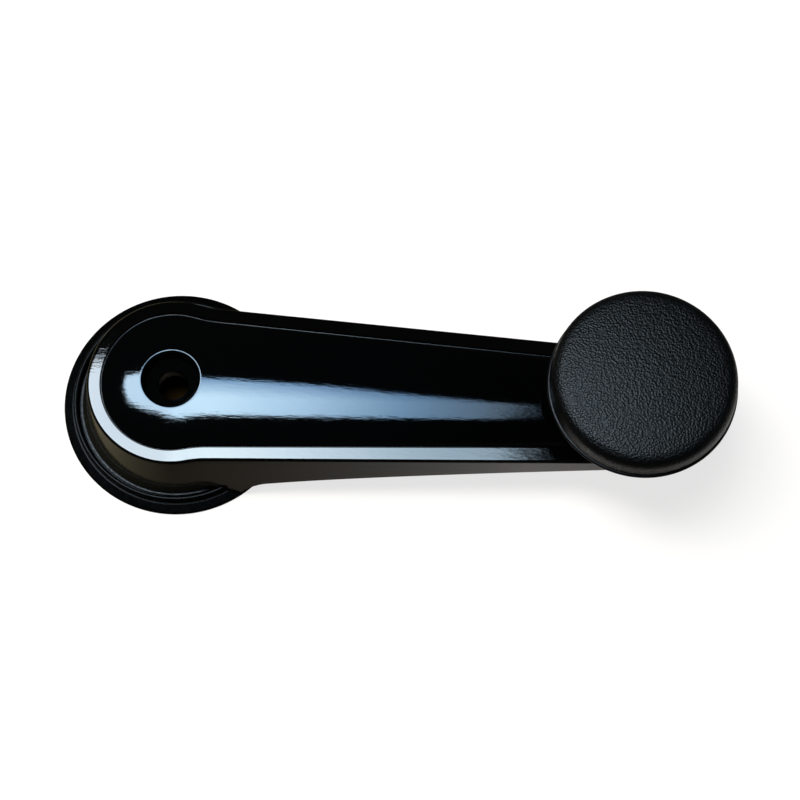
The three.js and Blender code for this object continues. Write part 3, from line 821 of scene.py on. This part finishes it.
def black_nylon():
    """Turned nylon with a matt, slightly rough skin."""
    surface = Surface("black_nylon", (0.004, 0.004, 0.0042), 0.5, Specular_IOR_Level=0.35)
    surface.set("Roughness", surface.ranged(surface.noise(0.7, 3), 0.3, 0.7, 0.42, 0.6))
    surface.bump(surface.noise(0.3, 3), 0.004)
    return surface.material


def foam():
    """Closed-cell foam: torn cells in its cut faces, with painted shade in their hollows."""
    surface = Surface("foam", (0.02, 0.02, 0.021), 0.9, Specular_IOR_Level=0.2)
    cells = surface.cells(0.35)
    torn = surface.ranged(cells, 0.0, 0.6, 0.0, 1.0)
    # painted shade: darker in the cells' middles, where the bump sinks
    surface.set("Base Color", surface.mix(torn, (0.008,) * 3, (0.03,) * 3))
    surface.bump(cells, 0.15)
    return surface.material


MATERIALS = {
    "gloss_paint": gloss_paint(),
    "gloss_moulding": gloss_moulding(),
    "grained_cap": grained_cap(),
    "satin_moulding": satin_moulding(),
    "nylon": black_nylon(),
    "foam": foam(),
    "bright_steel": turned_steel("bright_steel", (0.62, 0.63, 0.65), 0.28),
    "spring_steel": turned_steel("spring_steel", (0.3, 0.32, 0.35), 0.34),
    "bronze": turned_steel("bronze", (0.6, 0.42, 0.2), 0.36),
}


def place(piece, body, slot, *nodes):
    """Gives a piece its material and the body that it rides on, and hides the CAD nodes that it stands
    for.
    """
    piece.data.materials.clear()
    piece.data.materials.append(MATERIALS[slot])
    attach(piece, body)
    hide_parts(*nodes)


# ---------------------------------------------------------------- studio

CAMERA_AZIMUTH = math.radians(3.19)
CAMERA_ELEVATION = math.radians(72.8)
CAMERA_DISTANCE = 0.44362
CAMERA_TARGET = (0.0444, 0.00331, 0)
CAMERA_LENS = 99
SENSOR_WIDTH = 36


def camera():
    """A long lens above the handle, leaning a little towards the near side."""
    back = Vector((
        math.sin(CAMERA_AZIMUTH) * math.cos(CAMERA_ELEVATION),
        -math.cos(CAMERA_AZIMUTH) * math.cos(CAMERA_ELEVATION),
        math.sin(CAMERA_ELEVATION),
    ))
    data = bpy.data.cameras.new("camera")
    data.lens = CAMERA_LENS
    data.sensor_width = SENSOR_WIDTH
    data.clip_start = 0.02
    data.clip_end = 20
    view = bpy.data.objects.new("camera", data)
    view.location = Vector(CAMERA_TARGET) + back * CAMERA_DISTANCE
    view.rotation_mode = "QUATERNION"
    view.rotation_quaternion = (-back).to_track_quat("-Z", "Y")
    bpy.context.scene.collection.objects.link(view)
    bpy.context.scene.camera = view


SOFTBOX_HEIGHT = 1.0
SOFTBOX = (
    # corners (x, y) of the lit part of the softbox, in metres
    (-0.64, 0.375), (-0.64, 0.24), (-0.558, 0.074), (-0.395, -0.004), (-0.238, -0.043),
    (-0.16, -0.07), (-0.08, -0.095), (0.0, -0.12), (0.06, -0.14), (0.115, -0.155), (0.115, 0.06),
    (0.111, 0.13), (0.07, 0.2), (0.03, 0.245), (-0.017, 0.315), (-0.11, 0.33), (-0.36, 0.375),
)
SOFTBOX_RADIANCE = 25
SOFTBOX_SPAN = (-0.13, 0.12)  # the colour changes between these places along x
SOFTBOX_LIGHT = (
    # x and the panel's colour there
    (-0.13, (0.65, 0.76, 0.85)), (-0.1, (0.74, 0.87, 0.97)), (-0.085, (0.77, 0.92, 1.0)),
    (-0.011, (0.533, 0.663, 0.777)), (0.043, (0.357, 0.471, 0.56)), (0.075, (0.295, 0.395, 0.48)),
)
FAR_TINT = (0.27, 0.37, 0.5)  # what is left of the light at the panel's far side
FAR_FADE_Y = (0.1, 0.34)  # it falls to that between these places
FAR_FADE_X = (-0.35, -0.12)


def softbox():
    """A cool overhead panel that fades towards the knob and towards the far side."""
    bm = bmesh.new()
    corners = [bm.verts.new((x, y, SOFTBOX_HEIGHT)) for x, y in SOFTBOX]
    bm.faces.new(corners)
    bmesh.ops.triangulate(bm, faces=bm.faces)
    mesh = bpy.data.meshes.new("softbox")
    bm.to_mesh(mesh)
    bm.free()
    panel = new_object("softbox", mesh)
    surface = Surface("softbox", (0, 0, 0), 1.0)
    axes = surface.axes()
    light = surface.ramp(axes["X"], *SOFTBOX_SPAN, SOFTBOX_LIGHT)
    far = surface.math(
        "MULTIPLY",
        surface.ranged(axes["Y"], *FAR_FADE_Y, 0.0, 1.0),
        surface.ranged(axes["X"], *FAR_FADE_X, 0.0, 1.0),
    )
    fade = surface.mix(far, (1, 1, 1), FAR_TINT)
    color = surface.node("ShaderNodeVectorMath", {0: light, 1: fade}, operation="MULTIPLY")
    surface.set("Emission Color", color.outputs[0])
    surface.shader.inputs["Emission Strength"].default_value = SOFTBOX_RADIANCE
    mesh.materials.append(surface.material)


ROOM_LEVEL = 0.025


def surroundings():
    """A dark room."""
    world = bpy.data.worlds.new("studio")
    world.use_nodes = True
    world.node_tree.nodes["Background"].inputs["Color"].default_value = (*(ROOM_LEVEL,) * 3, 1)
    bpy.context.scene.world = world


FLOOR_R = 1.6
FLOOR_TURN_UP = 0.4  # radius of its upturned rim
FLOOR_ALBEDO = (0.36, 0.29, 0.235)  # warm, to turn the cool light white
FLOOR_GLOW = 0.75  # keeps the floor pale where the handle shades it
FLOOR_DARK_R = 0.0226  # nothing lights the floor inside the escutcheon
HUB_SHADE = (0.035, 0.017, 0.004)  # what shows there through the screw hole
# The floor as the handle's sides reflect it, with the handle's shadow painted in: dark by the hub, where
# the handle sits low, and pale under the raised knob.
FLOOR_SHADE_LEVEL = 0.065  # how bright the painted floor shade is at the hub axis
FLOOR_SHADE_FADE = 0.03  # it grows by a factor of e over this distance along the handle
FLOOR_SHADE_TOP = 0.7  # up to this
FLOOR_SHADE_HALF = (0.026, 0.036)  # it fades out between these distances from the handle's middle line
FLOOR_SHADE_REST = 0.12
# the warm tint by the hub is painted bounce light
FLOOR_SHADE_HUB_TINT = (1.39, 0.96, 0.64)
FLOOR_SHADE_KNOB_TINT = (1.38, 1.1, 0.93)
FLOOR_SHADE_KNOB_TINT_X = 0.05
FLOOR_WARM_BOUNCE = (0.3, 0.22, 0.12)  # painted warm bounce light left of the hub
FLOOR_WARM_BOUNCE_X = (-0.025, 0.0)


def reflected_floor_shade(surface, x, y):
    """What the handle's sides reflect: the floor with the handle's shadow and warm bounce light painted
    in, warm and dark by the hub and pale under the knob.
    """
    growth = surface.math("POWER", math.e, surface.math("DIVIDE", x, FLOOR_SHADE_FADE))
    level = surface.math("MINIMUM", surface.math("MULTIPLY", growth, FLOOR_SHADE_LEVEL), FLOOR_SHADE_TOP)
    edge = surface.ranged(surface.math("ABSOLUTE", y), *FLOOR_SHADE_HALF, 1.0, FLOOR_SHADE_REST)
    level = surface.math("MULTIPLY", level, edge)
    toward_knob = surface.ranged(x, 0.0, FLOOR_SHADE_KNOB_TINT_X, 0.0, 1.0)
    tint = surface.mix(toward_knob, FLOOR_SHADE_HUB_TINT, FLOOR_SHADE_KNOB_TINT)
    scaled = surface.node("ShaderNodeVectorMath", {0: tint, "Scale": level}, operation="SCALE")
    left = surface.ranged(x, *FLOOR_WARM_BOUNCE_X, 1.0, 0.0)
    color = surface.mix(left, scaled.outputs[0], FLOOR_WARM_BOUNCE)
    return surface.node("ShaderNodeBsdfDiffuse", {"Color": color}).outputs[0]


def floor_mesh():
    """A round floor with an upturned rim."""
    profile = [(0, 0), (FLOOR_R, 0)]
    for a in np.linspace(0.1, 1.3, 12):
        profile.append((FLOOR_R + FLOOR_TURN_UP * math.sin(a), FLOOR_TURN_UP * (1 - math.cos(a))))
    angles = np.linspace(0, 2 * math.pi, 97)
    rows = [[(r * math.cos(a), r * math.sin(a), z) for a in angles] for r, z in profile]
    ground = weld("floor", [np.array(rows) / MM])
    ground.data.shade_smooth()
    return ground


def floor():
    """The floor, which is pale and glows for the camera and in reflections shows the handle's painted
    shadow.
    """
    ground = floor_mesh()
    surface = Surface("pale_floor", FLOOR_ALBEDO, 0.7, Specular_IOR_Level=0.0)
    axes = surface.axes()
    open_floor = surface.math("GREATER_THAN", surface.length(surface.place), FLOOR_DARK_R)
    surface.set("Base Color", surface.mix(open_floor, HUB_SHADE, FLOOR_ALBEDO))
    surface.shader.inputs["Emission Color"].default_value = (1, 1, 1, 1)
    surface.set("Emission Strength", surface.math("MULTIPLY", open_floor, FLOOR_GLOW))
    seen = surface.node("ShaderNodeLightPath").outputs["Is Camera Ray"]
    links = {0: seen, 1: reflected_floor_shade(surface, axes["X"], axes["Y"]), 2: surface.shader.outputs[0]}
    shader = surface.node("ShaderNodeMixShader", links)
    output = surface.tree.nodes["Material Output"]
    surface.tree.links.new(shader.outputs[0], output.inputs["Surface"])
    ground.data.materials.append(surface.material)


# ---------------------------------------------------------------- pieces

camera()
softbox()
surroundings()
floor()
place(crank_arm(), "crank", "gloss_paint", "crank_arm")
place(spline_bush(), "crank", "bright_steel", "spline_insert")
place(shouldered_pin(), "crank", "bright_steel", "knob_pin")
place(
    flat_ring("seat_ring", "pin_seat_washer", PIN_WASHER_BORE_R, 0.1, KNOB_X),
    "crank", "bright_steel", "pin_seat_washer",
)
place(
    flat_ring("tail_ring", "pin_backing_washer", TAIL_HOLE_R, 0.15, KNOB_X),
    "crank", "bright_steel", "pin_backing_washer",
)
place(escutcheon(), "door_side", "gloss_moulding", "escutcheon")
place(flat_ring("foam_ring", "escutcheon_gasket", 11.25, 0.12), "door_side", "foam", "escutcheon_gasket")
place(flat_ring("slip_ring", "slip_washer", 14, 0.12), "door_side", "nylon", "slip_washer")
place(
    wave_ring("rattle_spring", "anti_rattle_spring", 8.9, 0.35),
    "door_side", "spring_steel", "anti_rattle_spring",
)
place(knob_base(), "knob", "satin_moulding", "knob_base")
place(knob_cap(), "knob", "grained_cap", "knob_cap")
place(flanged_bush(), "knob", "bronze", "knob_bush")
place(
    flat_ring("thrust_ring", "knob_thrust_washer", PIN_WASHER_BORE_R, 0.12, KNOB_X),
    "knob", "nylon", "knob_thrust_washer",
)
place(
    wave_ring("play_spring", "knob_wave_washer", PIN_WASHER_BORE_R, 0.3, KNOB_X),
    "knob", "spring_steel", "knob_wave_washer",
)
bpy.context.scene.view_settings.view_transform = "Standard"
